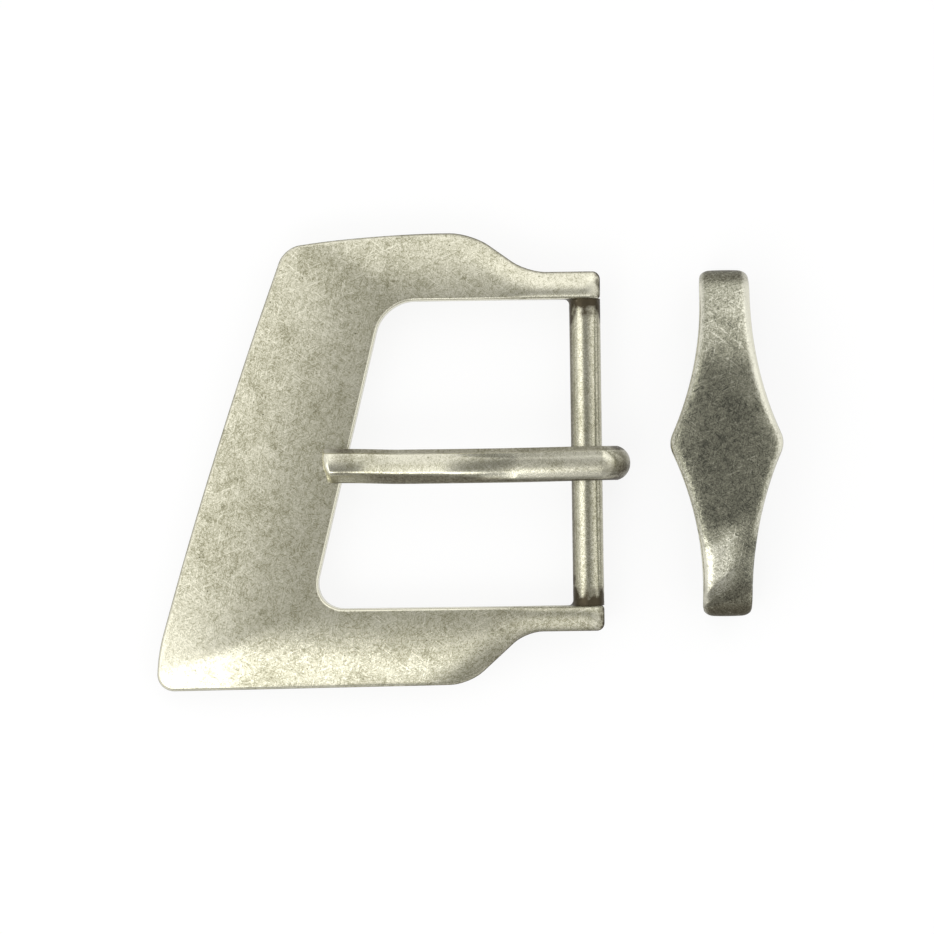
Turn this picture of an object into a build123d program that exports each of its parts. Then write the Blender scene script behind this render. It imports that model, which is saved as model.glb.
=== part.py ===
"""A gentleman's belt buckle set: a cast frame, its heel bar and prong, and the matching keeper.

Millimetres. The origin is the middle of the heel bar's axis. +X runs along the strap, from the plate
to the keeper, +Y along the bar and +Z out of the front face. The set lies on a table below it.
"""

import os
from math import asin, atan2, cos, degrees, hypot, radians, sin, tan

from build123d import *

os.makedirs("parts", exist_ok=True)

# Strap that the set fits
strap_width = 38.0
strap_play = 1.5  # clear length of the bar and of the keeper beyond the strap's width
half_opening = (strap_width + strap_play) / 2

# Heel bar: a round bar with a turned-down tenon at each end, brazed into the ears
bar_radius = 2.0
tenon_radius = 1.2
tenon_length = 1.8
braze_gap = 0.05
braze_leg = 0.75  # reach of the braze fillet along the bar and up the ear
braze_sweep = 110.0  # degrees round the bar that the fillet covers
braze_hollow_share = 1.1  # the radius of the fillet's hollow face over its reach

# Frame, in plan
ear_end = bar_radius  # the ears end flush with the bar
ear_corner = 0.6
top_ear_width = 3.5
bottom_ear_width = 3.25
top_rail_width = 8.7
bottom_rail_width = 10.0
window_top_length = 25.9  # from the bar's axis to the slanted edge, at the top and the bottom
window_bottom_length = 35.7
window_top_corner = 5.0
window_bottom_corner = 3.4
top_swoop_foot, top_swoop_head = 7.35, 14.5  # where each S-curve meets the ear and the rail
bottom_swoop_foot, bottom_swoop_head = 8.1, 15.5
top_foot_radius, top_head_radius = 7.5, 8.5
bottom_foot_radius, bottom_head_radius = 5.5, 6.4
top_corner_length, top_corner_drop, top_corner_radius = 38.67, 1.53, 3.3
bottom_corner_length, bottom_corner_drop, bottom_corner_radius = 56.0, 0.4, 2.2
flank_inset, flank_rise, flank_radius = 0.48, 5.4, 18.0  # the slanted edge stands up at its foot
belly = 0.94  # the slanted edge bulges: how far the corner that its arc rounds stands out
long_arc_share = 0.7  # of the shorter run at a long arc's corner

# Frame, in section
thickness = 4.0
ear_rise = 0.7  # the ears' front stands this far above the bar
ear_back = 2.3  # the ears reach this far behind the bar's axis
lug_root = 9.0  # the ears thicken towards the back from here on
lug_length = 5.2
lug_blend = 2.5
bow_radius = 69.0  # the plate curves down to its slanted outer edge
bow_slant = 71.0  # degrees from +X, the direction in which the bowed plate is straight
bow_sweep = 25.0  # degrees of arc, which carries the bow past the plate's outer edge
crown_section_radius = 32.0  # the rails curve down to their outer edges
crown_sweep = 30.0  # degrees of arc, which carries the crown past the rails' outer edges

# Prong
prong_width = 4.4
prong_offset = -1.35  # it hangs a little off the bar's middle
bore_clearance = 0.2
loop_radius = 4.6
loop_shift_x, loop_shift_z = 1.0, 0.3  # the loop is thicker over and behind the bar
loop_gap_start, loop_gap_end = 158.0, 186.0  # degrees from +X, where the loop's tail ends
tip_length = 34.1
tip_flat = 4.6  # length of the tip's level end
tip_thickness = 1.85
tip_face_lean = 0.6
tip_clearance = 0.05
arm_thickness = 2.5
arm_rise = 14.0  # degrees, from the tip up to the crest
arm_fall = 9.0  # degrees, from the crest down to the loop
crest_radius = 41.0
ramp_radius = 12.0
prong_edge_radius = 1.0

# Keeper
keeper_x = 17.8
keeper_y = 0.9
keeper_wall = 2.5
keeper_height = 12.0
keeper_back_thickness = 2.0
band_width = 6.5
diamond_flank_radius = 42.0
diamond_tip_radius = 3.0
diamond_reach = 18.5  # where the concave flanks run out into the band
shoulder_radius = 26.7
shoulder_angle = 25.0
shoulder_corner = 3.3
back_corner = 2.3
keeper_edge_radius = 0.8
inner_corner = 1.0

# Keeps what lies on a boundary out of a selection of faces or edges
margin = 0.1


def on_arc(radius, angle):
    """A point at an angle in degrees on a circle round the origin."""
    return (radius * cos(radians(angle)), radius * sin(radians(angle)))


# ---------------------------------------------------------------- plan of the frame
def long_arc(before, corner, after):
    """The radius of the long arc that rounds a blunt corner between two runs."""
    turn = abs((Vector(*corner) - Vector(*before)).get_signed_angle(Vector(*after) - Vector(*corner)))
    run = min((Vector(*corner) - Vector(*before)).length, (Vector(*after) - Vector(*corner)).length)
    return long_arc_share * run / tan(radians(turn / 2))


top_ear_y = half_opening + top_ear_width
bottom_ear_y = -half_opening - bottom_ear_width
top_rail_y = half_opening + top_rail_width
bottom_rail_y = -half_opening - bottom_rail_width
swoop_top = (-top_swoop_head, top_rail_y)
crown = (-(top_swoop_head + top_corner_length) / 2, top_rail_y)
top_corner = (-top_corner_length, top_rail_y - top_corner_drop)
bottom_corner = (-bottom_corner_length, bottom_rail_y - bottom_corner_drop)
flank = (flank_inset - bottom_corner_length, bottom_corner[1] + flank_rise)
edge_angle = atan2(top_corner[1] - flank[1], top_corner[0] - flank[0])
edge_belly = (
    (top_corner[0] + flank[0]) / 2 - belly * sin(edge_angle),
    (top_corner[1] + flank[1]) / 2 + belly * cos(edge_angle),
)
outline = [
    (ear_end, top_ear_y, ear_corner),
    (-top_swoop_foot, top_ear_y, top_foot_radius),
    (*swoop_top, top_head_radius),
    (*crown, long_arc(swoop_top, crown, top_corner)),
    (*top_corner, top_corner_radius),
    (*edge_belly, long_arc(top_corner, edge_belly, flank)),
    (*flank, flank_radius),
    (*bottom_corner, bottom_corner_radius),
    (-bottom_swoop_head, bottom_rail_y, bottom_head_radius),
    (-bottom_swoop_foot, bottom_ear_y, bottom_foot_radius),
    (ear_end, bottom_ear_y, ear_corner),
]
window_mouth = ear_end + bar_radius  # the cut runs on past the ears' ends
window = [
    (window_mouth, half_opening, 0),
    (-window_top_length, half_opening, window_top_corner),
    (-window_bottom_length, -half_opening, window_bottom_corner),
    (window_mouth, -half_opening, 0),
]

# ---------------------------------------------------------------- rest
# The buckle lies on the plate's slanted edge and on the prong's loop, which leans the frame a little.
front_level = bar_radius + ear_rise
back_level = front_level - thickness
back_bow_radius = bow_radius - thickness
window_middle = (window_top_length + window_bottom_length) / 2
bow_width = (-edge_belly[0] - window_middle) * sin(radians(bow_slant))
back_edge_level = back_level - (back_bow_radius - (back_bow_radius**2 - bow_width**2) ** 0.5)
rest_level = loop_shift_z - loop_radius
lean_arm = hypot(edge_belly[0], back_edge_level)
rest_lean = asin(-rest_level / lean_arm) - atan2(-back_edge_level, -edge_belly[0])
face = Plane(
    origin=(0, 0, 0),
    x_dir=(cos(rest_lean), 0, sin(rest_lean)),
    z_dir=(-sin(rest_lean), 0, cos(rest_lean)),
)
side = Plane(origin=(0, 0, 0), x_dir=face.x_dir, z_dir=(0, -1, 0))
end = Plane(origin=(0, 0, 0), x_dir=(0, 1, 0), z_dir=face.x_dir)
bow_line = Plane(
    origin=face.from_local_coords(Vector(-window_middle, 0, 0)),
    x_dir=face.from_local_coords(Vector(sin(radians(bow_slant)), -cos(radians(bow_slant)), 0)),
    z_dir=face.from_local_coords(Vector(-cos(radians(bow_slant)), -sin(radians(bow_slant)), 0)),
)

# ---------------------------------------------------------------- frame
reach = 80.0  # larger than the frame, for the solids that trim it
lug_run_in = -lug_root - 2 * lug_blend  # level back before the lug, so that its first blend has room


def bow_section(depth):
    """The bowed front, or at a depth the bowed back, as the outline of everything behind it."""
    with BuildLine() as line:
        level = front_level - depth
        ridge = Line((reach, level), (0, level))
        bow = JernArc(ridge @ 1, (-1, 0), bow_radius - depth, bow_sweep)
        far = bow @ 1 - Vector(reach, 0)
        Polyline(bow @ 1, far, (-reach * 2, -reach), (reach, -reach), ridge @ 0)
    return line.line


with BuildPart() as behind:
    with BuildSketch(bow_line):
        add(bow_section(thickness))
        make_face()
    extrude(amount=reach, both=True)
    with BuildSketch(side):
        with BuildLine():
            lug = FilletPolyline(
                (lug_run_in, back_level),
                (-lug_root, back_level),
                (-lug_length, -ear_back),
                (reach, -ear_back),
                radius=lug_blend,
            )
            Polyline(lug @ 1, (reach, front_level), (lug_run_in, front_level), lug @ 0)
        make_face()
    extrude(amount=reach, both=True, mode=Mode.SUBTRACT)

with BuildPart() as frame:
    with BuildSketch(face.offset(-reach / 4)):
        with BuildLine():
            FilletPolyline(*[(x, y) for x, y, _ in outline], radius=[r for _, _, r in outline], close=True)
        make_face()
        with BuildLine():
            FilletPolyline(*[(x, y) for x, y, _ in window], radius=[r for _, _, r in window], close=True)
        make_face(mode=Mode.SUBTRACT)
    extrude(amount=reach / 2)
    # the front: bowed along the slanted edge, and crowned along both rails
    with BuildSketch(bow_line):
        add(bow_section(0))
        make_face()
    extrude(amount=reach, both=True, mode=Mode.INTERSECT)
    with BuildSketch(end):
        with BuildLine():
            flat = Line((-half_opening, front_level), (half_opening, front_level))
            top_crown = JernArc(flat @ 1, (1, 0), crown_section_radius, -crown_sweep)
            bottom_crown = JernArc(flat @ 0, (-1, 0), crown_section_radius, crown_sweep)
            top_end = top_crown @ 1
            bottom_end = bottom_crown @ 1
            Polyline(top_end, (top_end.X, -reach), (bottom_end.X, -reach), bottom_end)
        make_face()
    extrude(amount=reach, both=True, mode=Mode.INTERSECT)
    # the back: bowed too, at an even thickness, with a deeper lug at each ear
    add(behind.part, mode=Mode.SUBTRACT)
    # a blind socket in each ear for the bar's tenons
    for way in (1, -1):
        with BuildSketch(Plane(origin=(0, way * half_opening, 0), z_dir=(0, way, 0))):
            Circle(tenon_radius + braze_gap)
        extrude(amount=tenon_length + braze_gap, mode=Mode.SUBTRACT)
frame.part.label = "frame"
export_step(frame.part, "parts/frame.step")

# ---------------------------------------------------------------- heel bar
with BuildPart() as heel_bar:
    with BuildSketch(Plane.XZ):
        Circle(bar_radius)
    extrude(amount=half_opening, both=True)
    with BuildSketch(Plane.XZ):
        Circle(tenon_radius)
    extrude(amount=half_opening + tenon_length, both=True)
    # the braze fillet, on the window's side of the bar
    upper_end = radians(180 - braze_sweep / 2)
    with BuildSketch(
        Plane(origin=(0, 0, 0), x_dir=(0, 1, 0), z_dir=(sin(upper_end), 0, -cos(upper_end)))
    ):
        with BuildLine():
            foot = (half_opening - braze_leg, bar_radius)
            crest = (half_opening, bar_radius + braze_leg)
            RadiusArc(foot, crest, -braze_leg * braze_hollow_share)
            Polyline(crest, (half_opening, tenon_radius), (foot[0], tenon_radius), foot)
        make_face()
        mirror(about=Plane.YZ)
    revolve(axis=Axis((0, 0, 0), (0, -1, 0)), revolution_arc=braze_sweep)
heel_bar.part.label = "heel_bar"
export_step(heel_bar.part, "parts/heel_bar.step")

# ---------------------------------------------------------------- prong
seat_level = front_level * cos(rest_lean) - window_middle * sin(rest_lean) + tip_clearance
tip_top = seat_level + tip_thickness
rise, fall = radians(arm_rise), radians(arm_fall)
ramp_x = -tip_length + tip_flat
loop_x = loop_shift_x + loop_radius * sin(fall)
loop_z = loop_shift_z + loop_radius * cos(fall)


def crest_at(depth):
    """Where the rising and falling lines of the arm meet, at a depth below its front."""
    rise_z = tip_top - depth / cos(rise)
    fall_z = loop_z - depth / cos(fall)
    x = (fall_z + tan(fall) * loop_x - rise_z + tan(rise) * ramp_x) / (tan(rise) + tan(fall))
    return (x, rise_z + tan(rise) * (x - ramp_x))


under_ramp_x = ramp_x + (seat_level - tip_top + arm_thickness / cos(rise)) / tan(rise)
neck_x = -bar_radius
neck_z = loop_z - arm_thickness / cos(fall) + tan(fall) * (loop_x - neck_x)
arm = [
    (-tip_length, seat_level, 0),
    (-tip_length + tip_face_lean, tip_top, 0),
    (ramp_x, tip_top, ramp_radius),
    (*crest_at(0), crest_radius),
    (loop_x, loop_z, 0),
    (loop_shift_x, loop_shift_z, 0),
    (neck_x, neck_z, 0),
    (*crest_at(arm_thickness), crest_radius - arm_thickness),
    (under_ramp_x, seat_level, ramp_radius),
]

with BuildPart() as prong:
    with BuildSketch(Plane.XZ.offset(-prong_offset)):
        with BuildLine():
            FilletPolyline(*[(x, z) for x, z, _ in arm], radius=[r for _, _, r in arm], close=True)
        make_face()
        with Locations((loop_shift_x, loop_shift_z)):
            Circle(loop_radius)
        Circle(bar_radius + bore_clearance, mode=Mode.SUBTRACT)
        gap_reach = loop_radius + loop_shift_x
        with BuildLine():
            Polyline((0, 0), on_arc(gap_reach, loop_gap_start), on_arc(gap_reach, loop_gap_end), (0, 0))
        make_face(mode=Mode.SUBTRACT)
    extrude(amount=prong_width / 2, both=True)
    # the front and the loop's outside are rounded over, from the tip round to the loop's tail
    flanks = prong.faces().filter_by(Axis.Y)
    rounded = prong.faces().filter_by(
        lambda f: f.normal_at().X > 0.5 or (f.normal_at().Z > 0.5 and f.center().Z > seat_level)
    )
    rounded_edges = rounded.edges()
    fillet(flanks.edges().filter_by(lambda e: e in rounded_edges), prong_edge_radius)
prong.part.label = "prong"
export_step(prong.part, "parts/prong.step")

# ---------------------------------------------------------------- keeper
keeper_end = half_opening + keeper_wall
keeper_top = rest_level + keeper_height
leg_split = rest_level + keeper_height / 2
bend = radians(shoulder_angle)
diamond_turn = degrees(asin(diamond_reach / diamond_flank_radius))
shoulder_start = keeper_end - shoulder_corner * (1 - sin(bend)) - shoulder_radius * sin(bend)


def ring_outline(inset, floor, corner):
    """The keeper's outline across the strap, set in from the outside by an inset."""
    with BuildLine() as line:
        top = Line((0, keeper_top - inset), (shoulder_start, keeper_top - inset))
        shoulder = JernArc(top @ 1, (1, 0), shoulder_radius - inset, -shoulder_angle)
        turn = JernArc(shoulder @ 1, shoulder % 1, shoulder_corner - inset, shoulder_angle - 90)
        FilletPolyline(turn @ 1, ((turn @ 1).X, floor), (0, floor), radius=corner)
        mirror(about=Plane.YZ)
    return line.line


keeper_middle = Plane(origin=(keeper_x, keeper_y, 0), x_dir=(0, 1, 0), z_dir=(1, 0, 0))

with BuildPart() as keeper:
    # the face: the arch above the legs' middle, cut to the diamond
    with BuildSketch(keeper_middle):
        add(ring_outline(0, rest_level, back_corner))
        make_face()
        with Locations((0, rest_level)):
            Rectangle(2 * reach, keeper_height, mode=Mode.SUBTRACT)
    extrude(amount=reach, both=True)
    with BuildSketch(Plane(origin=(keeper_x, keeper_y, leg_split))):
        with BuildLine():
            end_point = (band_width / 2, keeper_end)
            flank = JernArc((band_width / 2, diamond_reach), (0, -1), diamond_flank_radius, diamond_turn)
            Line(end_point, flank @ 0)
            Line(end_point, (0, keeper_end))
            mirror(about=Plane.YZ)
            mirror(about=Plane.XZ)
        make_face()
        tips = vertices().filter_by_position(Axis.Y, -0.01, 0.01)
        fillet(tips, diamond_tip_radius)
    extrude(amount=reach, mode=Mode.INTERSECT)
    walls = keeper.faces().filter_by(lambda f: abs(f.normal_at().Z) < 0.01)
    side_walls = walls.filter_by(lambda f: abs(f.center().Y - keeper_y) < keeper_end - margin)
    upper = side_walls.edges().filter_by(lambda e: (e @ 0.5).Z > leg_split + margin)
    rims = upper.filter_by(lambda e: abs((e % 0.5).Z) < 0.99)
    fillet(rims, keeper_edge_radius)
    # the back: the lower half of the ring, a plain band
    with BuildSketch(keeper_middle):
        add(ring_outline(0, rest_level, back_corner))
        make_face()
        with Locations((0, leg_split)):
            Rectangle(2 * reach, keeper_height, align=(Align.CENTER, Align.MIN), mode=Mode.SUBTRACT)
    extrude(amount=band_width / 2, both=True)
    # the strap's passage
    with BuildSketch(keeper_middle):
        add(ring_outline(keeper_wall, rest_level + keeper_back_thickness, inner_corner))
        make_face()
    extrude(amount=reach, both=True, mode=Mode.SUBTRACT)
keeper.part.label = "keeper"
export_step(keeper.part, "parts/keeper.step")
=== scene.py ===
"""The looks of a gentleman's belt buckle set: cast frame, heel bar, prong and matching keeper.

The pieces are shaped in millimetres in the solids' own frame, and brought to metres when they are done.
Every point carries two numbers that the finish reads: how far it is lightened, by rubbing and by painted
highlights, and how far it is darkened, by real soiling and by painted shade.
"""

from math import ceil, cos, degrees, hypot, pi, radians, sin, sqrt, tan

import bmesh
import bpy
from mathutils import Matrix, Vector, noise
from mathutils.bvhtree import BVHTree


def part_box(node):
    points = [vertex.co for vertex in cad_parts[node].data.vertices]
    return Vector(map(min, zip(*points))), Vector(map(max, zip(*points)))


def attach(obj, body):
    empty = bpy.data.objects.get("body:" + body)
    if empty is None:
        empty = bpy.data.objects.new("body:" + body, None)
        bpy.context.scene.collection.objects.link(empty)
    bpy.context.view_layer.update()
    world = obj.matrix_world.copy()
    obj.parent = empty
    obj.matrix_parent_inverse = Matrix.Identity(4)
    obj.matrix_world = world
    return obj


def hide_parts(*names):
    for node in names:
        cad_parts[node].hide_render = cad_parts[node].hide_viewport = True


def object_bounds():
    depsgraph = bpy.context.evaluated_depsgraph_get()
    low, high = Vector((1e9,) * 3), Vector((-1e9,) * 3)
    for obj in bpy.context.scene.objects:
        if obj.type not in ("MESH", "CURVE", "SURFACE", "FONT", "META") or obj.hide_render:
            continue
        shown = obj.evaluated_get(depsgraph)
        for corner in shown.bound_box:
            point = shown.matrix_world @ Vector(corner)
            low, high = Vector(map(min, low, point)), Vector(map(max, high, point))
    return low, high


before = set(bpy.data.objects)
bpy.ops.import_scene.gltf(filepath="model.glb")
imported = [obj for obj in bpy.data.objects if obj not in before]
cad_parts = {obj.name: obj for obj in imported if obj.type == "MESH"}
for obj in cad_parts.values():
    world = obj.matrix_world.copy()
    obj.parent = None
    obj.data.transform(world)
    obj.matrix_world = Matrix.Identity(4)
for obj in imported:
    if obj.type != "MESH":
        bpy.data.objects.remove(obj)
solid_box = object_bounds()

MM = 0.001
side_share = 0.5  # a face whose normal lies more than this along an axis is one of the flat sides across it


def in_mm(node):
    """A solid's lowest and highest corners in millimetres."""
    low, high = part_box(node)
    return low / MM, high / MM


# ---------------------------------------------------------------- helpers for shaping


def rise(start, end, value):
    """0 up to start, 1 past end, and a smooth rise between."""
    part = min(max((value - start) / (end - start), 0.0), 1.0)
    return part * part * (3 - 2 * part)


def fall(start, end, value):
    """1 up to start, 0 past end, and a smooth fall between."""
    return 1 - rise(start, end, value)


def between(start, full, waning, end, value):
    """0 up to start, 1 from full to waning, and 0 again past end."""
    return rise(start, full, value) * fall(waning, end, value)


def pillow(distance, reach, depth):
    """How far a soft rounding lowers a face near an edge."""
    return depth * max(1 - distance / reach, 0.0) ** 2


def round_over(distance, reach, depth):
    """How far a face drops near an edge that turns right over."""
    return depth * (1 - sqrt(1 - min(max(1 - distance / reach, 0.0), 1.0) ** 2))


def rounded_face(bm, corners, turn_a_segment=7.0, run_a_segment=0.8):
    """A flat face through corners of (x, y, radius), each rounded to its radius."""
    points = [Vector((x, y, 0)) for x, y, _ in corners]
    verts = [bm.verts.new(p) for p in points]
    bm.faces.new(verts)
    for i, (vert, (_, _, radius)) in enumerate(zip(verts, corners)):
        if radius:
            before = points[i] - points[i - 1]
            after = points[(i + 1) % len(points)] - points[i]
            turn = before.angle(after)
            segments = max(3, ceil(degrees(turn) / turn_a_segment), ceil(radius * turn / run_a_segment))
            bmesh.ops.bevel(
                bm, geom=[vert], offset=radius * tan(turn / 2), offset_type="OFFSET", affect="VERTICES",
                segments=segments, profile=0.5, material=-1, clamp_overlap=False,
            )
    bm.faces.ensure_lookup_table()
    return bm.faces[0]


def steps(low, high, pitch):
    """Places between low and high, evenly spaced at about a pitch."""
    count = ceil((high - low) / pitch)
    return [low + (high - low) * i / count for i in range(1, count)]


def slice_at(bm, axis, places):
    """Cuts the whole mesh by planes square to an axis, so that it can follow a curve."""
    normal = Vector((0, 0, 0))
    normal[axis] = 1
    for place in places:
        bmesh.ops.bisect_plane(
            bm, geom=bm.verts[:] + bm.edges[:] + bm.faces[:], dist=0.0005, plane_co=normal * place,
            plane_no=normal,
        )


def both_ways(places):
    """Places on both sides of a middle, in order."""
    return sorted({-place for place in places} | set(places))


def thicken(bm, depth):
    """Pulls a flat sheet out along a direction into a closed block."""
    pulled = bmesh.ops.extrude_face_region(bm, geom=bm.faces[:])["geom"]
    bmesh.ops.translate(bm, verts=[g for g in pulled if isinstance(g, bmesh.types.BMVert)], vec=depth)
    bmesh.ops.recalc_face_normals(bm, faces=bm.faces[:])


wall_height = 9


def wall_on(corners, wanted=None):
    """A wall stood on an outline, or on the wanted part of it, to measure distances from."""
    wall = bmesh.new()
    rounded_face(wall, corners)
    bmesh.ops.delete(wall, geom=wall.faces[:], context="FACES_ONLY")
    if wanted:
        unwanted = [e for e in wall.edges if not wanted(*((e.verts[0].co + e.verts[1].co) / 2).xy)]
        bmesh.ops.delete(wall, geom=unwanted, context="EDGES")
    pulled = bmesh.ops.extrude_edge_only(wall, edges=wall.edges[:])["geom"]
    bmesh.ops.translate(
        wall, verts=[g for g in pulled if isinstance(g, bmesh.types.BMVert)], vec=(0, 0, wall_height)
    )
    tree = BVHTree.FromBMesh(wall)
    wall.free()
    return tree


def nearest_on(wall, x, y):
    """The nearest place on a wall, seen in its outline's plane, and how far off it is."""
    place, _, _, distance = wall.find_nearest(Vector((x, y, wall_height / 2)))
    return place, distance


def attributes(bm, *names):
    """Numbers kept on every point. They come before any point, because a new one makes the points anew."""
    for name in names:
        bm.verts.layers.float.new(name)
    return [bm.verts.layers.float[name] for name in names]


sharpest_smooth = radians(35)  # edges that turn more than this stay crisp


def finished(bm, name, node, body, material):
    """Turns a shaped mesh into the piece that stands for a solid."""
    bmesh.ops.remove_doubles(bm, verts=bm.verts[:], dist=0.0004)
    bmesh.ops.dissolve_degenerate(bm, edges=bm.edges[:], dist=0.0002)
    bmesh.ops.recalc_face_normals(bm, faces=bm.faces[:])
    bmesh.ops.scale(bm, verts=bm.verts[:], vec=(MM, MM, MM))
    bm.normal_update()
    for face in bm.faces:
        face.smooth = True
    for edge in bm.edges:
        edge.smooth = edge.calc_face_angle() < sharpest_smooth
    mesh = bpy.data.meshes.new(name)
    bm.to_mesh(mesh)
    bm.free()
    piece = bpy.data.objects.new(name, mesh)
    bpy.context.scene.collection.objects.link(piece)
    mesh.materials.append(material)
    even = piece.modifiers.new("even_normals", "WEIGHTED_NORMAL")
    even.keep_sharp = True
    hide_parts(node)
    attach(piece, body)


# ---------------------------------------------------------------- helpers for finishes


def linear(colour):
    """An sRGB hex colour as the linear values that a shader takes."""
    values = [int(colour[i : i + 2], 16) / 255 for i in (1, 3, 5)]
    return [v / 12.92 if v <= 0.04045 else ((v + 0.055) / 1.055) ** 2.4 for v in values] + [1.0]


def add(tree, kind, settings=None, sockets=None):
    """Adds a node with its settings. Each socket is given a value, or the output that feeds it."""
    made = tree.nodes.new(kind)
    for key, value in (settings or {}).items():
        setattr(made, key, value)
    for key, value in (sockets or {}).items():
        if isinstance(value, bpy.types.NodeSocket):
            tree.links.new(value, made.inputs[key])
        else:
            made.inputs[key].default_value = value
    return made


# sizes of the finish's patterns, in mm
cloud_size, blotch_size, speck_size = 5.0, 2.2, 0.3
# length, width and depth; the real strokes are finer, and are drawn as coarse as they need to show
stroke_size, scratch_size = (1.0, 0.09, 0.16), (3.4, 0.12, 1.0)
pit_pitch, pit_core, pit_rim = 1.9, 0.02, 0.065  # a pit's core and rim are shares of the pitch
relief_depth = 0.02
stroke_angles, scratch_angles = (8, 37, 66, 97, 128, 157), (21, 79, 143)
# the brown of soiling, also used as painted shade
dirt_and_shade_brown = "#4C4537"


def antique_nickel(name, patina, polish, marks, bright="#DEDBC8", mid="#928F76", black="#454338"):
    """Nickel plate, blackened, then tumbled until it shines through: a grey metal full of short fine strokes.

    The black stays in pits and corners. The brown on steep sides and rims that turn from the light is partly
    soiling and partly painted shade, and the bright rims and crests are partly rubbed and partly painted
    highlight.
    patina is how much black is left on open faces, polish how rough the rubbed metal is, and marks how strong
    the strokes and specks are. bright, mid and black are the metal's colours from rubbed to black.
    """
    material = bpy.data.materials.new(name)
    material.use_nodes = True
    tree = material.node_tree
    tree.nodes.clear()
    place = add(tree, "ShaderNodeTexCoord").outputs["Object"]
    place = add(tree, "ShaderNodeMapping", None, {"Vector": place, "Scale": (1 / MM,) * 3}).outputs[0]
    smooth = {"interpolation_type": "SMOOTHSTEP"}
    times_and_plus = {"operation": "MULTIPLY_ADD"}

    # clouds of thicker and thinner black
    clouds = add(
        tree, "ShaderNodeTexNoise", None,
        {"Vector": place, "Scale": 1 / cloud_size, "Detail": 4.0, "Roughness": 0.6},
    ).outputs[0]
    # specks, and blotches where they stand close
    specks = add(
        tree, "ShaderNodeTexNoise", None,
        {"Vector": place, "Scale": 1 / speck_size, "Detail": 3.0, "Roughness": 0.7},
    ).outputs[0]
    blotches = add(
        tree, "ShaderNodeTexNoise", None, {"Vector": place, "Scale": 1 / blotch_size, "Detail": 2.0}
    ).outputs[0]
    blotches = add(
        tree, "ShaderNodeMapRange", smooth, {0: blotches, 1: 0.5, 2: 0.68, 3: 0.0, 4: 1.0}
    ).outputs[0]
    blotches = add(tree, "ShaderNodeMath", {"operation": "MULTIPLY"}, {0: blotches, 1: specks}).outputs[0]

    # strokes left by the tumbling chips, some rubbed bright and some black
    rubbed = dark = 0.0
    for number, angle in enumerate(stroke_angles):
        turned = add(
            tree, "ShaderNodeMapping", {"vector_type": "TEXTURE"},
            {"Vector": place, "Location": (number * 13.7, number * 7.1, number * 3.3),
             "Rotation": (0, 0, radians(angle)), "Scale": stroke_size},
        ).outputs[0]
        grain = add(
            tree, "ShaderNodeTexNoise", None,
            {"Vector": turned, "Scale": 1.0, "Detail": 1.0, "Roughness": 0.5},
        ).outputs[0]
        over = add(
            tree, "ShaderNodeMapRange", smooth, {0: grain, 1: 0.61, 2: 0.76, 3: 0.0, 4: 1.0}
        ).outputs[0]
        under = add(
            tree, "ShaderNodeMapRange", smooth, {0: grain, 1: 0.41, 2: 0.27, 3: 0.0, 4: 1.0}
        ).outputs[0]
        rubbed = add(tree, "ShaderNodeMath", {"operation": "MAXIMUM"}, {0: over, 1: rubbed}).outputs[0]
        dark = add(tree, "ShaderNodeMath", {"operation": "MAXIMUM"}, {0: under, 1: dark}).outputs[0]
    # a few longer scratches
    scratched = 0.0
    for number, angle in enumerate(scratch_angles):
        turned = add(
            tree, "ShaderNodeMapping", {"vector_type": "TEXTURE"},
            {"Vector": place, "Location": (5 - number * 9.1, number * 11.3, number * 4.9),
             "Rotation": (0, 0, radians(angle)), "Scale": scratch_size},
        ).outputs[0]
        grain = add(
            tree, "ShaderNodeTexNoise", None, {"Vector": turned, "Scale": 1.0, "Detail": 0.0}
        ).outputs[0]
        over = add(tree, "ShaderNodeMapRange", smooth, {0: grain, 1: 0.69, 2: 0.8, 3: 0.0, 4: 1.0}).outputs[0]
        scratched = add(tree, "ShaderNodeMath", {"operation": "MAXIMUM"}, {0: over, 1: scratched}).outputs[0]
    # casting pits
    cell = add(
        tree, "ShaderNodeTexVoronoi", None, {"Vector": place, "Scale": 1 / pit_pitch, "Randomness": 1.0}
    )
    pits = add(
        tree, "ShaderNodeMapRange", smooth,
        {0: cell.outputs["Distance"], 1: pit_core, 2: pit_rim, 3: 1.0, 4: 0.0},
    ).outputs[0]
    # lightening by rubbing and by painted highlights, darkening by soiling and by painted shade
    worn_and_lit = add(tree, "ShaderNodeAttribute", {"attribute_name": "wear_and_highlight"}).outputs["Fac"]
    grime_and_shade = add(tree, "ShaderNodeAttribute", {"attribute_name": "grime_and_shade"}).outputs["Fac"]

    # how black each place is: a share of each pattern, evened out so that marks don't change the whole
    amount = add(tree, "ShaderNodeMapRange", None, {0: clouds, 1: 0.3, 2: 0.7, 3: -0.07, 4: 0.07}).outputs[0]
    for mask, share in (
        (specks, 0.55 * marks), (dark, 0.4 * marks), (rubbed, -0.3 * marks), (scratched, -0.24 * marks),
        (blotches, 0.24 * marks), (pits, 0.6), (worn_and_lit, -0.55),
    ):
        amount = add(tree, "ShaderNodeMath", times_and_plus, {0: mask, 1: share, 2: amount}).outputs[0]
    evened = patina - 0.31 * marks
    amount = add(tree, "ShaderNodeMath", {"operation": "ADD"}, {0: amount, 1: evened}).outputs[0]
    amount = add(tree, "ShaderNodeClamp", None, {0: amount}).outputs[0]
    light_half = add(tree, "ShaderNodeMapRange", None, {0: amount, 1: 0.0, 2: 0.5, 3: 0.0, 4: 1.0}).outputs[0]
    dark_half = add(tree, "ShaderNodeMapRange", None, {0: amount, 1: 0.5, 2: 1.0, 3: 0.0, 4: 1.0}).outputs[0]
    mixing = {"data_type": "RGBA"}
    colour = add(tree, "ShaderNodeMix", mixing, {0: light_half, 6: linear(bright), 7: linear(mid)}).outputs[2]
    colour = add(tree, "ShaderNodeMix", mixing, {0: dark_half, 6: colour, 7: linear(black)}).outputs[2]
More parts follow.
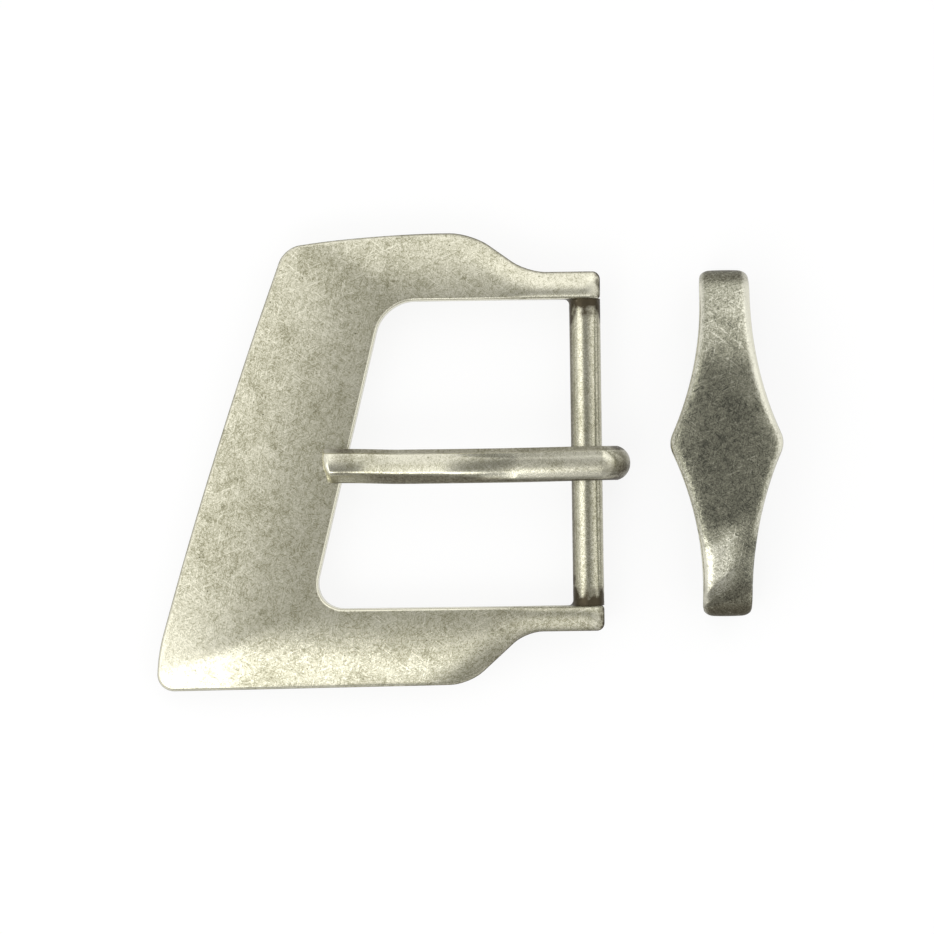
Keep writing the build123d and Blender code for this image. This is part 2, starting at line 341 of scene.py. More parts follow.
    # brown, partly soiling and partly painted shade on faces that turn from the light, broken up by the
    # specks
    dirt_and_shade = add(tree, "ShaderNodeMath", times_and_plus, {0: specks, 1: 1.2, 2: -0.6}).outputs[0]
    dirt_and_shade = add(tree, "ShaderNodeMath", times_and_plus, {0: dirt_and_shade, 1: grime_and_shade, 2: grime_and_shade}).outputs[0]
    dirt_and_shade = add(tree, "ShaderNodeClamp", None, {0: dirt_and_shade}).outputs[0]
    colour = add(tree, "ShaderNodeMix", mixing, {0: dirt_and_shade, 6: colour, 7: linear(dirt_and_shade_brown)}).outputs[2]
    # black metal is a little rougher than rubbed metal, and the brown of soiling and painted shade is matt
    rough = add(
        tree, "ShaderNodeMapRange", None, {0: amount, 1: 0.0, 2: 1.0, 3: polish, 4: polish + 0.16}
    ).outputs[0]
    rough = add(tree, "ShaderNodeMath", times_and_plus, {0: dirt_and_shade, 1: 0.25, 2: rough}).outputs[0]

    # relief: pits sink in, strokes and specks only roughen the plate
    relief = specks
    for mask, share in ((pits, -1.2), (rubbed, 0.15), (dark, -0.15), (scratched, -0.2)):
        relief = add(tree, "ShaderNodeMath", times_and_plus, {0: mask, 1: share, 2: relief}).outputs[0]
    bump = add(
        tree, "ShaderNodeBump", None, {"Height": relief, "Strength": 0.4, "Distance": relief_depth * MM}
    ).outputs[0]
    metal = add(
        tree, "ShaderNodeBsdfPrincipled", None,
        {"Base Color": colour, "Roughness": rough, "Metallic": 1.0, "Normal": bump},
    )
    add(tree, "ShaderNodeOutputMaterial", None, {"Surface": metal.outputs[0]})
    return material


# cast and long tumbled: pale, satin and evenly mottled
frame_finish = antique_nickel("antique_nickel_tumbled_casting", patina=0.27, polish=0.27, marks=0.8)
# drawn rod, smoother than a casting: long soft highlights
bar_finish = antique_nickel("antique_nickel_drawn_bar", patina=0.23, polish=0.17, marks=0.6)
# pressed from rolled strip: as smooth as the bar, with bright crests
prong_finish = antique_nickel("antique_nickel_pressed_prong", patina=0.24, polish=0.17, marks=0.6)
# cast and tumbled for a shorter time: a dark face full of fine bright strokes, inside bright rims
keeper_finish = antique_nickel(
    "antique_nickel_dark_keeper", patina=0.74, polish=0.25, marks=0.95,
    bright="#DEDCCC", mid="#92917F", black="#46463F",
)

# ---------------------------------------------------------------- frame
# The plan is one closed run of (x, y, radius): round the outside from the upper ear, and back round the
# window.
half_opening, ear_end = 19.75, 2.0
low_corner = (-56.0, -30.15)
plan = [
    (ear_end, 23.25, 1.0), (-7.35, 23.25, 7.5), (-14.5, 28.45, 8.5), (-26.6, 28.45, 134.0),
    (-38.67, 26.92, 3.3), (-47.99, 1.38, 550.0), (-55.52, -24.75, 18.0), (*low_corner, 2.2),
    (-15.5, -29.75, 6.4), (-8.1, -23.0, 5.5), (ear_end, -23.0, 1.0), (ear_end, -half_opening, 0.5),
    (-35.7, -half_opening, 3.4), (-25.9, half_opening, 5.0), (ear_end, half_opening, 0.5),
]
front_level, back_level, ear_back = 2.7, -1.3, -2.3
bow_radius, bow_slant, bow_start = 69.0, radians(71.0), -30.8
window_slant = 4.9  # how far the window's plate end leans, at half the opening
crown_radius = 32.0
rim_radius = 0.36  # less than the smallest corner
rim_rings = (0.012, 0.048, 0.105, 0.18, 0.267, rim_radius)
back_rim = 0.9  # the back rim's depth, as a share of the front's
rest_lean = radians(1.12)  # the casting lies on the plate's back and leans to the bar
# soft edges, by how far each reaches and how deep it gets:
pillow_reach, pillow_depth = 3.0, 0.45  # the outer edge of the ears and of the sweeps that lead to them,
low_reach, low_depth = 4.2, 0.75  # the lower sweep, which falls away more,
inner_reach, inner_depth = 1.1, 0.26  # the ears' window side,
end_reach, end_depth = 1.3, 0.3  # the ears' ends,
corner_reach, corner_depth = 10.0, 0.42  # and the low corner
uneven_height, uneven_pitch = 0.014, 3.5  # a casting is never quite even


def bow_drop(x, y, radius):
    """How far the plate has curved down, across its slanted outer edge."""
    beyond = max(y * cos(bow_slant) - (x - bow_start) * sin(bow_slant), 0.0)
    return radius - sqrt(radius * radius - beyond * beyond)


def front_height(x, y):
    """The bowed plate and the crowned rails, running into each other over a soft hip."""
    beyond = max(abs(y) - half_opening, 0.0)
    crown = crown_radius - sqrt(crown_radius**2 - beyond**2)
    return front_level - (bow_drop(x, y, bow_radius) ** 4 + crown**4) ** 0.25


def back_height(x, y):
    """The back of the plate, and the deeper lugs behind the ears."""
    lug = rise(-9.6, -4.6, x)
    return back_level + (ear_back - back_level) * lug - bow_drop(x, y, bow_radius + back_level - front_level)


def by_window(x, y, margin=0.6):
    """Whether a place on a rim looks into the window."""
    return abs(y) < half_opening + margin and x > bow_start + y * window_slant / half_opening - margin


def on_plate(x):
    """1 on the plate, 0 on the rails."""
    return fall(-26.0, -17.0, x)


def on_ear(x):
    """0 on the plate and the rails, 1 on the ears."""
    return rise(-12.0, -5.0, x)


def soft_edges(x, y, from_edge, from_window, from_end, from_corner):
    """How far the front falls away towards its edges, besides its rim."""
    low_sweep = (y < 0) * fall(-13.5, -6.5, x)
    outer = pillow(from_edge, pillow_reach, pillow_depth) * (1 - low_sweep)
    outer += pillow(from_edge, low_reach, low_depth) * low_sweep
    fallen = outer * rise(-21.0, -13.0, x) + pillow(from_window, inner_reach, inner_depth) * on_ear(x)
    return fallen + pillow(from_corner, corner_reach, corner_depth) + pillow(from_end, end_reach, end_depth)


def frame_wear_and_highlights(x, y, rim, from_window, from_end, from_corner):
    """How far the front is lightened: its rims partly rubbed, and painted highlights on the rims, the upper
    ear, the low corner and the ears' ends.
    """
    if by_window(x, y):  # the window's rim, on the plate only: rubbed, and a painted highlight along its rounding
        worn_and_lit = 0.8 * fall(0.2, rim_radius, rim) * fall(-14.0, -8.0, x)
    else:  # a fine painted highlight line inside the plate's outer rim
        worn_and_lit = 0.4 * on_plate(x) * between(0.1, 0.2, 0.3, rim_radius, rim)
    if y > 0:  # the upper ear, and a little of its rail: painted light, as they face the light
        worn_and_lit += 0.3 * on_ear(x) + 0.12 * rise(-24.0, -17.0, x) * (1 - on_ear(x))
    # a painted highlight on the low corner
    worn_and_lit += 0.4 * fall(3.0, 16.0, from_corner)
    # a painted highlight line across each ear, near its end
    return worn_and_lit + 0.25 * between(0.6, 1.0, 1.1, 2.1, from_end) * rise(0.3, 1.2, from_window)


def frame_grime_and_shade(x, y, rim, from_end):
    """How dark the front is made: painted shade on the outer rim and the lower ear, and patches on the ears'
    ends, partly soiling and partly painted shade.
    """
    dirt_and_shade = 0.0
    if not by_window(x, y):  # the outside of the rim, wider off the plate: painted shade where the rim turns from the light
        dirt_and_shade = 0.85 * fall(0.0, 0.25 - 0.14 * on_plate(x), rim)
    if y < 0:  # the lower ear and its sweep: painted shade, as they face from the light
        dirt_and_shade += 0.12 * on_ear(x) + 0.15 * rise(-16.0, -12.0, x) * (1 - on_ear(x))
    broken = 0.55 + 1.3 * noise.noise(Vector((x, y, 3)) * 2.4)  # patches on the ears' ends, partly soiling and partly painted shade
    return dirt_and_shade + broken * fall(0.2, 0.95, from_end)


bm = bmesh.new()
from_rim, wear_and_highlight, grime_and_shade = attributes(bm, "from_rim", "wear_and_highlight", "grime_and_shade")
inner = rounded_face(bm, plan)
reached = 0.0
for place in rim_rings:
    bmesh.ops.inset_region(
        bm, faces=[inner], thickness=place - reached, use_boundary=True, use_even_offset=True
    )
    reached = place
    for vert in inner.verts:
        vert[from_rim] = place
slice_at(bm, 0, steps(-56.0, -20.0, 0.8) + [-20.0] + steps(-20.0, ear_end, 0.4))
slice_at(bm, 1, steps(-30.2, -18.8, 0.5) + steps(-18.8, 18.8, 0.8) + steps(18.8, 28.5, 0.5))
thicken(bm, (0, 0, -1))
outer_wall = wall_on(plan, lambda x, y: not by_window(x, y))
for vert in bm.verts:
    x, y, z = vert.co
    rim = min(vert[from_rim], rim_radius)
    rounding = rim_radius - sqrt(max(rim_radius**2 - (rim_radius - rim) ** 2, 0.0))
    from_window, from_end = abs(abs(y) - half_opening), ear_end - x
    from_corner = hypot(x - low_corner[0], y - low_corner[1])
    if z > -0.5:  # the front of the flat block
        from_edge = nearest_on(outer_wall, x, y)[1]
        rounding += soft_edges(x, y, from_edge, from_window, from_end, from_corner)
        uneven = uneven_height * noise.noise(Vector((x, y, 0)) / uneven_pitch)
        vert.co.z = front_height(x, y) - rounding + uneven
        vert[wear_and_highlight] = frame_wear_and_highlights(x, y, rim, from_window, from_end, from_corner)
        vert[grime_and_shade] = frame_grime_and_shade(x, y, rim, from_end)
    else:
        vert.co.z = back_height(x, y) + rounding * back_rim
        # painted shade underneath, more along the outer rim
        vert[grime_and_shade] = 0.12 + 0.5 * (not by_window(x, y)) * fall(0.0, 0.2, rim)
    # black that tumbling can't reach stays against the bar's ends, with painted shade in the crevice between
    # the parts
    vert[grime_and_shade] += 0.5 * fall(0.2, 1.6, from_window) * rise(-4.2, -2.4, x) * fall(-0.4, 2.0, vert.co.z)
bmesh.ops.rotate(bm, verts=bm.verts[:], cent=(0, 0, 0), matrix=Matrix.Rotation(-rest_lean, 3, "Y"))
finished(bm, "frame_casting", "frame", "buckle", frame_finish)

# ---------------------------------------------------------------- heel bar
bar_radius, tenon_radius, tenon_end = 2.0, 1.2, 21.55
braze_leg, braze_share = 0.75, 0.95  # the fillet's leg, and how much of it shows as a swelling of the bar
lump_height = 0.05
near_ear = (0.08, 0.18, 0.3, 0.45, 0.6, 0.75, 1.0, 1.4, 1.9, 2.6, 3.4)  # close rings, for the braze fillet
plain_end = half_opening - near_ear[-1]

bm = bmesh.new()
_, grime_and_shade = attributes(bm, "wear_and_highlight", "grime_and_shade")  # the bar is rubbed nowhere in particular
bar_end = [(-tenon_end, 0.0), (-tenon_end, tenon_radius), (-half_opening, tenon_radius)]
bar_end += [(-half_opening, bar_radius)] + [(-half_opening + place, bar_radius) for place in near_ear]
run = bar_end + [(y, bar_radius) for y in steps(-plain_end, plain_end, 0.7)]
run += [(-y, r) for y, r in reversed(bar_end)]
verts = [bm.verts.new((r, y, 0)) for y, r in run]
edges = [bm.edges.new(pair) for pair in zip(verts, verts[1:])]
bmesh.ops.spin(
    bm, geom=verts + edges, cent=(0, 0, 0), axis=(0, 1, 0), angle=2 * pi, steps=72, use_merge=True
)
bmesh.ops.remove_doubles(bm, verts=bm.verts[:], dist=0.001)
for vert in bm.verts:
    x, y, z = vert.co
    out, from_ear = hypot(x, z), half_opening - abs(y)
    if out > bar_radius - 0.1:  # on the bar, and not on its tenons
        across = x / out
        # the braze fillet, on the window's side, with the lumps that it sets in
        facing = rise(0.35, 0.85, -across)
        hollow = max(braze_leg - from_ear, 0.0)
        leg = braze_leg - sqrt(max(braze_leg**2 - hollow**2, 0.0))
        lump = lump_height * noise.noise(Vector((x, y, z)) * 1.7) * fall(0.5, 2.2, from_ear)
        grown = (out + leg * facing * braze_share + lump) / out
        vert.co.x, vert.co.z = x * grown, z * grown
        # black at the bar's ends, in broken patches, partly patina and partly painted shade against the ears;
        # two lines through it are painted highlights where the round bar catches the light
        broken = noise.noise(Vector((x, y, z)) * 1.2)
        end = fall(0.5, 3.4, from_ear + 2.2 * broken)
        highlight_lines = max(1 - abs(across + 0.42) / 0.3, 0.8 - abs(across - 0.55) / 0.3, 0.0)
        vert[grime_and_shade] = 1.2 * end * (1 - rise(0.7, 1.3, from_ear) * highlight_lines)
        vert[grime_and_shade] += (0.5 - 0.8 * broken) * fall(0.3, 1.2, from_ear)
        # painted shade along its sides, where the round bar turns from the light, more on the window's
        vert[grime_and_shade] += (0.15 + 0.65 * (x < 0)) * rise(0.68, 0.95, abs(across))
finished(bm, "heel_bar_rod", "heel_bar", "buckle", bar_finish)

# ---------------------------------------------------------------- prong
# The side view is one closed run of (x, z, radius): from the cut end along the top, round the loop, back
# round its bore and along the arm's underside.
prong_low, prong_high = in_mm("prong")
prong_middle, half_width = (prong_low.y + prong_high.y) / 2, (prong_high.y - prong_low.y) / 2
bore = 2.2
tip_foot, tip_face = 2.16, 4.01
side_view = [
    (-34.1, tip_foot, 0), (-33.85, tip_face, 0.8), (-29.5, tip_face, 12.0), (-13.8, 7.45, 26.0),
    (5.6, 4.228, 4.55), (5.6, -4.3, 4.55), (-3.6, -4.3, 4.5), (-3.58, -0.37, 0.35), (-bore, -0.02, 0),
    (-bore, -bore, 2.15), (bore, -bore, 2.19), (bore, bore, 2.19), (-1.484, bore, 2.19), (-2.04, 0.824, 0),
    (-3.467, 1.4, 0.3), (-2.714, 3.014, 0.4), (-15.22, 4.99, 38.5), (-26.59, tip_foot, 12.0),
]
# the arm's section, by the distance from its middle towards its upper side:
crisp_edge, edge_step, edge_slope = 1.55, 0.05, 0.8  # the pressed edge, and the facet past it
arm_crown_radius = 6.5
fold_start, fold_blend, fold_slope = 0.65, 0.7, 1.2  # the steep lower side towards the tip,
low_start, low_slope = 0.95, 0.18  # and the flat one towards the loop,
low_rim_reach, low_rim_depth = 0.4, 0.7  # with its rim
tip_twist, loop_twist = 0.06, -0.11  # how far each end of the arm leans to a side
loop_round_height, loop_round_half = 2.15, 2.26
rim_reach_beneath, rim_depth_beneath = 0.3, 0.25
cut_start = -32.8
cut_lean, cut_rag = 0.75, 0.1  # the cut end leans back to its lower side, and is ragged
sideways_bend = 0.22  # pressed from strip, the arm isn't quite straight
cuts_across = (0.0, 0.35, 0.6, 0.72, 0.84, 0.96, 1.1, 1.25, 1.5, 1.58, 1.75, 1.9, 2.02, 2.12, 2.17)


def arm_drop(x, y):
    """How far the arm's front falls: a low crown, a facet past the crisp edge, and the lower side."""
    near_loop = rise(-24.0, -9.0, x)
    crowned = min(max(y, -3.0 + 2.05 * near_loop), crisp_edge - 0.5 * near_loop)
    crown = crowned**2 / (2 * arm_crown_radius)
    upper = (y > crisp_edge) * (edge_step + (y - crisp_edge) * edge_slope)
    below = max(-y - fold_start, 0.0)
    steep = fold_slope * (below**2 / (2 * fold_blend) if below < fold_blend else below - fold_blend / 2)
    flat = low_slope * max(-y - low_start, 0.0) + round_over(half_width + y, low_rim_reach, low_rim_depth)
    twist = tip_twist + (loop_twist - tip_twist) * rise(-21.0, -7.0, x)
    return crown + upper + twist * y + steep * (1 - near_loop) + flat * near_loop


def loop_drop(y):
    """The loop's outside, round like a finger's end."""
    return loop_round_height * (1 - sqrt(max(1 - (y / loop_round_half) ** 2, 0.0)))


def on_outside(face):
    """Whether a face is on the arm's front, its cut end or the loop's outside."""
    centre, normal = face.calc_center_median(), face.normal
    if centre.x < -30.0:  # the tip: its front and its cut end
        return normal.z > 0.05
    if centre.x < 0 and centre.z > 0.9:  # the arm: its front only
        return normal.z > 0.8
    # the loop: well outside its bore, and facing outward
    return hypot(centre.x, centre.z) > 1.5 * bore and centre.x * normal.x + centre.z * normal.z > 0


def flank_edge(x):
    """Where the lower flank begins, across the arm. It runs out to the side towards the loop."""
    return -0.72 - 1.03 * rise(-24.0, -2.0, x)


def prong_wear_and_highlights(x, y):
    """How far the prong's front is lightened with painted highlights: along its crisp edge and above its
    lower flank, on its crests, and on the loop's top.
    """
    along = rise(-24.0, -2.0, x)
    # painted highlights along the crisp edge, above the lower flank and on the lower half towards the loop
    worn_and_lit = 0.2 * fall(0.0, 0.12, abs(y - crisp_edge + 0.06))
    worn_and_lit += (0.1 + 0.7 * along) * fall(0.0, 0.45, abs(y - flank_edge(x) - 0.3))
    worn_and_lit += 0.25 * between(-13.0, -7.0, -2.0, 4.5, x) * (y < 1.5)
    worn_and_lit += 0.6 * fall(0.2, 1.3, hypot(x - 2.3, 1.5 * (y - 0.85)))  # a painted highlight on the loop, at the top
    # and on the upper half of the arm where it rises
    return worn_and_lit + 0.3 * between(-28.0, -25.0, -20.0, -14.0, x) * rise(0.0, 0.8, y)


def prong_grime_and_shade(x, y):
    """How far the prong's front is darkened with painted shade: its flanks, behind the cut end and round the
    loop.
    """
    # painted shade on the steep lower flank and on the facet past the crisp edge
    dirt_and_shade = 0.75 * rise(0.05, 0.4, flank_edge(x) - y) * (0.3 + 0.7 * rise(-31.0, -26.0, x))
    dirt_and_shade += 0.5 * rise(0.04, 0.2, y - crisp_edge)
    dirt_and_shade += 0.28 * between(-32.8, -32.0, -31.0, -29.5, x) * (y > -1.0)  # painted shade behind the cut end
    # painted shade round the loop, more on its lower side
    return dirt_and_shade + 0.45 * rise(3.0, 4.8, x) + 0.4 * rise(-0.5, 3.5, x) * fall(-0.6, 0.6, y)


bm = bmesh.new()
wear_and_highlight, grime_and_shade = attributes(bm, "wear_and_highlight", "grime_and_shade")
rounded_face(bm, side_view, turn_a_segment=5.0, run_a_segment=0.6)
slice_at(bm, 0, steps(-33.0, -24.0, 0.8))
# from flat on the table to upright along the arm
bmesh.ops.rotate(bm, verts=bm.verts[:], cent=(0, 0, 0), matrix=Matrix.Rotation(pi / 2, 3, "X"))
bmesh.ops.translate(bm, verts=bm.verts[:], vec=(0, half_width, 0))
thicken(bm, (0, -2 * half_width, 0))
slice_at(bm, 1, sorted(both_ways(cuts_across) + [crisp_edge]))
bm.normal_update()
outward, beneath = {}, {}
for face in bm.faces:
    if abs(face.normal.y) < side_share:
        side = outward if on_outside(face) else beneath
        for vert in face.verts:
            side[vert] = side.get(vert, Vector()) + Vector((face.normal.x, 0, face.normal.z))
for vert in bm.verts:
    x, y, z = vert.co
    if vert in outward:
        round_end = rise(0.6, 4.4, x)
        drop = arm_drop(x, y) * (1 - round_end) + loop_drop(y) * round_end
        down = outward[vert].normalized()
        if x < cut_start:  # down to nothing at the foot of the cut end
            down, drop = Vector((0, 0, 1)), drop * (z - tip_foot) / (tip_face - tip_foot)
        if z < 0:  # round the back of the loop, as deep as its wall allows
            away = hypot(x, z)
            down, drop = Vector((x, 0, z)) / away, loop_drop(y) * (away - bore) / (prong_high.x - bore)
        vert.co = vert.co - down * drop
        vert[wear_and_highlight], vert[grime_and_shade] = prong_wear_and_highlights(x, y), prong_grime_and_shade(x, y)
    else:
        # painted shade on the arm's sides and round the bore
        vert[grime_and_shade] = 0.5 * rise(1.9, 2.2, abs(y)) + 0.4 * fall(2.2, 2.9, hypot(x, z))
        if vert in beneath:
            out_here = beneath[vert].normalized()
            if hypot(x, z) < bore + 0.1:  # the bore's mouth is the same all round, up to the slit
                out_here = Vector((-x, 0, -z)).normalized()
            rim = round_over(half_width - abs(y), rim_reach_beneath, rim_depth_beneath)
            vert.co = vert.co - out_here * rim
    # the cut end: slanted and a little ragged, lit with a painted highlight on its lip and kept clear of
    # painted shade
    cut = fall(-33.9, -32.6, x)
    vert[wear_and_highlight] += cut
    vert[grime_and_shade] *= 1 - cut * (y < crisp_edge)
    if cut:
        ragged = cut_rag * noise.noise(Vector((x, y, z)) * 1.5)
        vert.co.x += cut * (cut_lean * fall(-2.2, 0.4, y) + ragged)
    vert.co.y -= sideways_bend * rise(-32.0, -23.0, x) * (1 - 0.6 * rise(-9.0, 0.0, x))
bmesh.ops.translate(bm, verts=bm.verts[:], vec=(0, prong_middle, 0))
finished(bm, "prong_pressing", "prong", "tongue", prong_finish)

# ---------------------------------------------------------------- keeper
keeper_low, keeper_high = in_mm("keeper")
keeper_x, keeper_y = (keeper_low.x + keeper_high.x) / 2, (keeper_low.y + keeper_high.y) / 2
widest, keeper_end = (keeper_high.x - keeper_low.x) / 2, (keeper_high.y - keeper_low.y) / 2
floor_level, keeper_top = keeper_low.z, keeper_high.z
face_level = floor_level + 6  # the face is all above this
band_half, band_thickness, side_taper = 3.25, 2.5, 0.4
flank_radius, tip_radius = 42.0, 3.0
tip_end, flank_end = 1.23, 18.5  # how far along the diamond's rounded tips and its flanks reach
shoulder_start, shoulder_slope = 14.98, radians(25.0)
rim_reach, rim_depth = 1.35, 0.8
inner_rim_reach, inner_rim_depth = 0.35, 0.3
crown_share = 0.011  # the crown across the keeper, in mm for each square mm
bend_skew = 0.93  # the lower shoulder bends along a slant,
facet_reach, facet_depth = 6.5, 0.95  # falls away to the left,
crease, crease_fall = 16.8, 0.26  # and below a crease falls faster
side_wear_and_highlight = 0.45
shares_across = (0.0, 0.25, 0.45, 0.6, 0.7, 0.78, 0.85, 0.91, 0.955, 0.985)


def half_width_at(y, on_top):
    """Half the keeper's width at a place along it: the diamond on top, running out into the band."""
    y = abs(y)
    if y >= flank_end or not on_top:
        return band_half
    if y < tip_end:
        return widest - tip_radius + sqrt(tip_radius**2 - y * y)
    return band_half + flank_radius - sqrt(flank_radius**2 - (flank_end - y) ** 2)


def ring_corners(inset, floor, foot, shoulder, turn):
    """The corners of the keeper's outline across the strap, set in by an inset."""
    end = keeper_end - inset
    bend = shoulder_start - inset * tan(shoulder_slope / 2)
    low = keeper_top - inset - (end - bend) * tan(shoulder_slope)
    half = [(end, floor, foot), (end, low, turn), (bend, keeper_top - inset, shoulder)]
    return half + [(-y, z, r) for y, z, r in reversed(half)]


def low_shoulder(y, on_top):
    """1 on the lower shoulder, 0 elsewhere."""
    return between(9.0, 13.0, 17.5, 20.5, -y) * on_top


def front_drop(x, y, half, on_top):
    """How far the outside sinks at a share x of its half width: rims, crown, the lower shoulder's bends."""
    drop = round_over(half * (1 - abs(x)), rim_reach, rim_depth) + crown_share * (x * half) ** 2
    drop += pillow((1 + x) * half, facet_reach, facet_depth) * low_shoulder(y, on_top)
    return drop + crease_fall * max(-y - crease, 0.0) * fall(20.5, 22.3, -y) * on_top


def keeper_wear_and_highlights(x, y, from_side, on_top):
    """How far the outside is lightened: its rims, partly rubbed and partly painted highlight, brightest at
    the upper right, and painted highlights on the shoulders.
    """
    most = rise(0.0, 0.9, x) * rise(-5.0, 4.0, y)
    least = rise(0.0, 0.6, x) * rise(13.0, 16.0, -y)  # below the crease, on the right: left darker, as painted shade
    worn_and_lit = (1.0 + 0.3 * most) * fall(0.2 + 0.2 * most, 0.8 + 0.5 * most, from_side) * (1 - 0.8 * least)
    # painted highlights beside the upper right rim, on the upper shoulder and on the lower shoulder's left
    worn_and_lit += 0.45 * most * fall(0.8, 4.5, from_side) * fall(8.0, 14.0, y)
    worn_and_lit += 0.62 * rise(4.5, 17.5, y) * (1 - 0.7 * rise(19.5, 21.5, y)) * on_top
    worn_and_lit += 0.95 * low_shoulder(y, on_top) * fall(-0.5, 1.0, x)
    at_side = abs(x) > 0.999
    return min(worn_and_lit, side_wear_and_highlight) if at_side else worn_and_lit


bm = bmesh.new()
wear_and_highlight, grime_and_shade = attributes(bm, "wear_and_highlight", "grime_and_shade")
outer_corners = ring_corners(0, floor_level, 2.3, 26.4, 3.25)
inner_corners = ring_corners(band_thickness, floor_level + 2, 1.0, 24.0, 0.8)
for corners in (outer_corners, inner_corners):
    rounded_face(bm, corners, run_a_segment=0.6)
bmesh.ops.delete(bm, geom=bm.faces[:], context="FACES_ONLY")
bmesh.ops.bridge_loops(bm, edges=bm.edges[:])
# from flat on the table to upright across the strap: its own x runs along the bar, its own y upwards
bmesh.ops.transform(
    bm, verts=bm.verts[:], matrix=Matrix(((0, 0, 1, 0), (1, 0, 0, 0), (0, 1, 0, 0), (0, 0, 0, 1)))
)
# until the width is given at the end, x is a share of the half width, from -1 to 1
bmesh.ops.translate(bm, verts=bm.verts[:], vec=(-1, 0, 0))
thicken(bm, (2, 0, 0))
slice_at(bm, 1, steps(-19.4, 19.4, 0.5))
slice_at(bm, 0, both_ways(shares_across))
bm.normal_update()
ring_middle = Vector((0, 0, (floor_level + keeper_top) / 2))
outer_ring, inner_ring = wall_on(outer_corners), wall_on(inner_corners)
outward, inward = {}, {}
for face in bm.faces:
    if abs(face.normal.x) < side_share:
        side = outward if face.normal.dot(face.calc_center_median() - ring_middle) > 0 else inward
        for vert in face.verts:
            side[vert] = side.get(vert, Vector()) + face.normal
for vert in bm.verts:
    x, y, z = vert.co
    on_top = z > face_level
    half = half_width_at(y, on_top)
    from_side = half * (1 - abs(x))
    if vert in outward:
        vert.co = vert.co - outward[vert].normalized() * front_drop(x, y, half, on_top)
        vert[wear_and_highlight] = keeper_wear_and_highlights(x, y, from_side, on_top)
    elif vert in inward:
        rim = round_over(from_side, inner_rim_reach, inner_rim_depth)
        vert.co = vert.co - inward[vert].normalized() * rim
    else:
        # within a side wall: sunk with the rims of its outer and inner edge, by how near each is
        outside, inside = nearest_on(outer_ring, y, z)[0], nearest_on(inner_ring, y, z)[0]
        from_outside = Vector((0, y - outside.x, z - outside.y))
        from_inside = Vector((0, y - inside.x, z - inside.y))
        share = from_inside.length / (from_outside.length + from_inside.length)
        edge_on_top = outside.y > face_level
        edge_half = half_width_at(outside.x, edge_on_top)
        sunk = from_outside.normalized() * front_drop(x, outside.x, edge_half, edge_on_top) * share
        vert.co = vert.co + sunk + from_inside.normalized() * inner_rim_depth * (1 - share)
        # the rims' rubbing and painted highlight, carried onto the side wall
        vert[wear_and_highlight] = side_wear_and_highlight * share
    y = vert.co.y
    y += bend_skew * between(7.5, 12.5, 17.0, 22.0, -y) * on_top * x * band_half
    taper = side_taper * fall(floor_level + 2, keeper_top - 1, z)
    vert.co.x, vert.co.y = x * (half_width_at(y, on_top) - taper), y
    # painted shade at the ends, low down and below the lower shoulder's crease
    vert[grime_and_shade] = 0.4 * rise(19.8, 21.6, abs(y)) + 0.2 * fall(-2, 2, z)
    vert[grime_and_shade] += 0.3 * rise(crease, crease + 2.2, -y) * on_top
bmesh.ops.translate(bm, verts=bm.verts[:], vec=(keeper_x, keeper_y, 0))
finished(bm, "keeper_casting", "keeper", "loop", keeper_finish)

# ---------------------------------------------------------------- floor, light and camera
floor_z, floor_size = solid_box[0].z, 2.0  # in metres
self_lit = 0.85  # how much of the floor's brightness, as seen, is its own
bm = bmesh.new()
bmesh.ops.create_grid(bm, x_segments=1, y_segments=1, size=floor_size)
bmesh.ops.translate(bm, verts=bm.verts[:], vec=(0, 0, floor_z))
mesh = bpy.data.meshes.new("floor")
bm.to_mesh(mesh)
bm.free()
floor = bpy.data.objects.new("floor", mesh)
bpy.context.scene.collection.objects.link(floor)
# matt white paper, seen by the camera as lit from within, so that it stays plain and still takes shadows
paper = bpy.data.materials.new("matt_white_paper")
paper.use_nodes = True
tree = paper.node_tree
tree.nodes.clear()
rays = add(tree, "ShaderNodeLightPath").outputs
seen = add(
    tree, "ShaderNodeMath", {"operation": "MAXIMUM"}, {0: rays["Is Camera Ray"], 1: rays["Is Glossy Ray"]}
).outputs[0]
seen = add(
    tree, "ShaderNodeMath", {"operation": "MAXIMUM"}, {0: seen, 1: rays["Is Transmission Ray"]}
).outputs[0]
share = add(tree, "ShaderNodeMath", {"operation": "MULTIPLY"}, {0: seen, 1: self_lit}).outputs[0]
matt = add(tree, "ShaderNodeBsdfDiffuse", None, {"Color": linear("#FAFAF9")}).outputs[0]
lit = add(tree, "ShaderNodeEmission", None, {"Color": (1, 1, 1, 1), "Strength": 1.0}).outputs[0]
both = add(tree, "ShaderNodeMixShader", None, {0: share, 1: matt, 2: lit}).outputs[0]
add(tree, "ShaderNodeOutputMaterial", None, {"Surface": both})
mesh.materials.append(paper)

# a light tent, by direction: the bearing and the angle off the zenith of a patch of its cloth, the angles
# from its middle at which it starts to fade and is gone, and how much it adds or takes away
cloth_level, darkest = 0.95, 0.03
patches = (
    (270, 2, 3, 25, -0.62),  # the opening for the camera
    (0, 26, 5, 24, -0.22),
    (0, 62, 8, 30, 0.35),
    (45, 42, 5, 22, 0.6),
    (184, 42, 5, 26, 1.0),
    (95, 52, 10, 44, 0.35),
    (70, 20, 4, 18, 0.4),
    (275, 60, 12, 44, -0.5),
    (90, 88, 5, 30, -0.4),
)


def toward(bearing, off_zenith):
    """The direction at a bearing, anticlockwise from the bar's right, and at an angle off the zenith."""
    turn, lean = radians(bearing), radians(off_zenith)
    return Vector((cos(turn) * sin(lean), sin(turn) * sin(lean), cos(lean)))


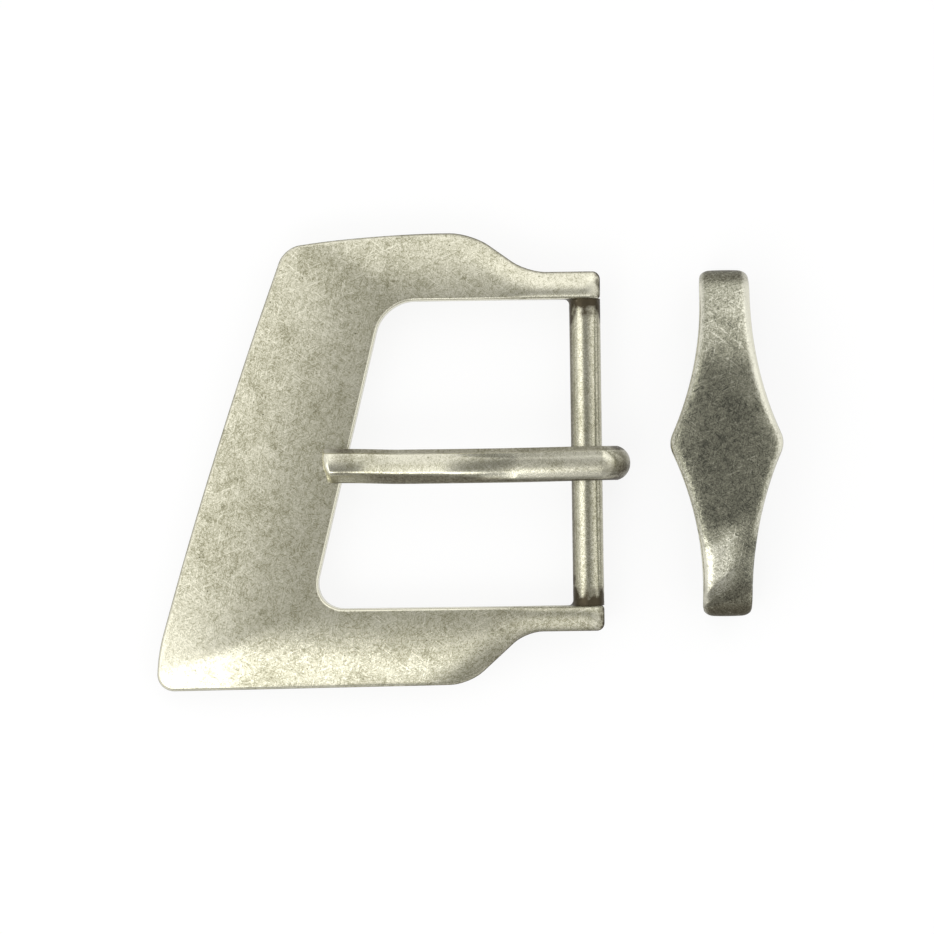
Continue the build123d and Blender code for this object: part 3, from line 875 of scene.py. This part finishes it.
world = bpy.data.worlds.new("light_tent")
bpy.context.scene.world = world
world.use_nodes = True
tree = world.node_tree
tree.nodes.clear()
way = add(tree, "ShaderNodeTexCoord").outputs["Generated"]
level = cloth_level
for bearing, off_zenith, full, gone, change in patches:
    near = add(
        tree, "ShaderNodeVectorMath", {"operation": "DOT_PRODUCT"}, {0: way, 1: toward(bearing, off_zenith)}
    ).outputs["Value"]
    share = add(
        tree, "ShaderNodeMapRange", {"interpolation_type": "SMOOTHSTEP"},
        {0: near, 1: cos(radians(gone)), 2: cos(radians(full)), 3: 0.0, 4: change},
    ).outputs[0]
    level = add(tree, "ShaderNodeMath", {"operation": "ADD"}, {0: share, 1: level}).outputs[0]
level = add(tree, "ShaderNodeMath", {"operation": "MAXIMUM"}, {0: level, 1: darkest}).outputs[0]
tent = add(tree, "ShaderNodeBackground", None, {"Color": (1, 1, 1, 1), "Strength": level}).outputs[0]
add(tree, "ShaderNodeOutputWorld", None, {"Surface": tent})

# two soft panels stand close by, at the lower left and, smaller, at the lower right: place and size in mm
panel_aim = Vector((-25, -10, 0)) * MM
for name, place, width, height, brightness in (
    ("left_panel", (-102, -142, 200), 160, 120, 2.2), ("near_panel", (58, -110, 200), 50, 45, 1.9),
):
    lamp = bpy.data.lights.new(name, "AREA")
    lamp.shape, lamp.size, lamp.size_y = "RECTANGLE", width * MM, height * MM
    lamp.energy = brightness * pi * lamp.size * lamp.size_y
    panel = bpy.data.objects.new(name, lamp)
    bpy.context.scene.collection.objects.link(panel)
    panel.location = Vector(place) * MM
    panel.rotation_mode = "QUATERNION"
    panel.rotation_quaternion = (panel.location - panel_aim).to_track_quat("Z", "Y")
    panel.visible_camera = False

camera_height = 0.7  # metres above the floor
lens = bpy.data.cameras.new("copy_stand")
lens.sensor_width = 36.0
lens.lens = 207.9
stand = bpy.data.objects.new("copy_stand", lens)
bpy.context.scene.collection.objects.link(stand)
stand.location = (-15.46 * MM, -1.70 * MM, floor_z + camera_height)
stand.rotation_euler = (0, 0, radians(-0.8))
bpy.context.scene.camera = stand
bpy.context.scene.view_settings.view_transform = "Standard"
